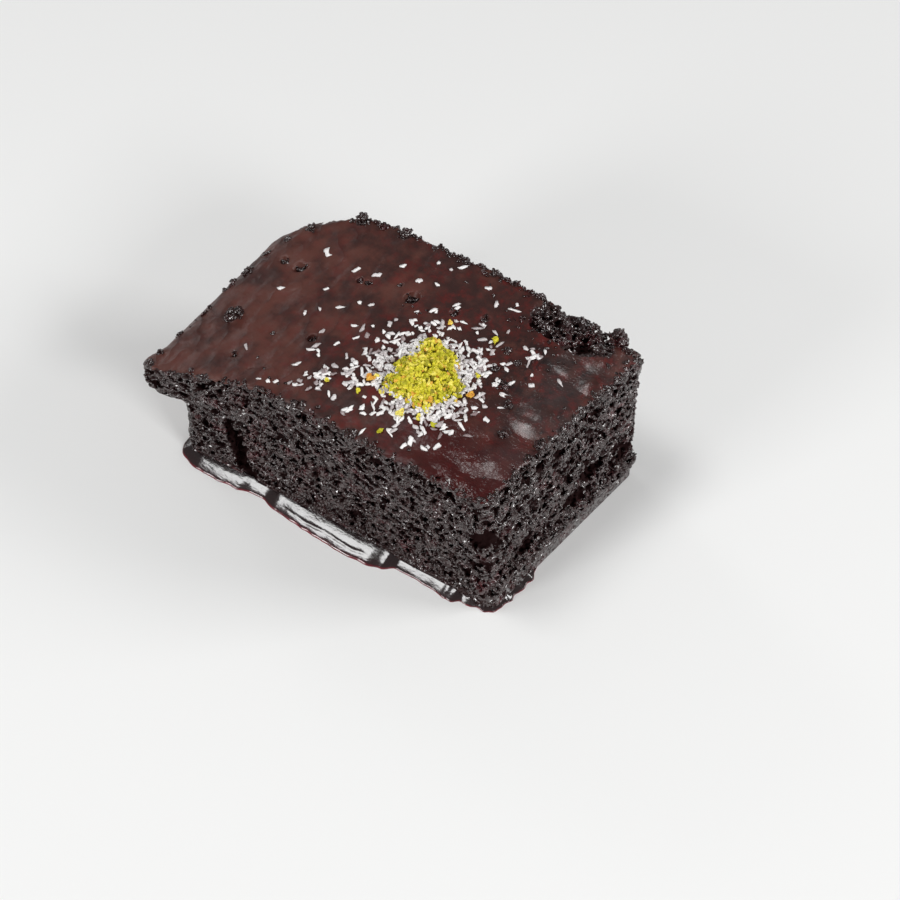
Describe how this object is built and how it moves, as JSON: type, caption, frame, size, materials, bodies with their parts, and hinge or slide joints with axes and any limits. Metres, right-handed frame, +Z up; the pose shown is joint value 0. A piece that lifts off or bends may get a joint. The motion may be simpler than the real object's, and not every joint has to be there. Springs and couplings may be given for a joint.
{
  "type": "chocolate cake slice",
  "caption": "Cut slice of wet chocolate sheet cake with a glazed top, coconut flakes, a small heap of ground pistachio and a thin pool of sauce along its foot.",
  "frame": {"origin": "centre of the cake's foot, on the plane the slice rests on", "axes": "+X along the slice's long sides, away from the baked end; +Y across the slice, from the side with the sauce to the other; +Z up"},
  "size_m": [0.11, 0.0687, 0.0523],
  "materials": {
    "crumb": "wet dark chocolate sponge with a glazed skin",
    "coconut": "white desiccated coconut",
    "pistachio": "ground pistachio",
    "sauce": "glossy dark chocolate sauce"
  },
  "bodies": {
    "root": {"cake": "crumb", "coconut_heap": "coconut", "pistachio_heap": "pistachio", "sauce_pool": "sauce"}
  },
  "joints": []
}
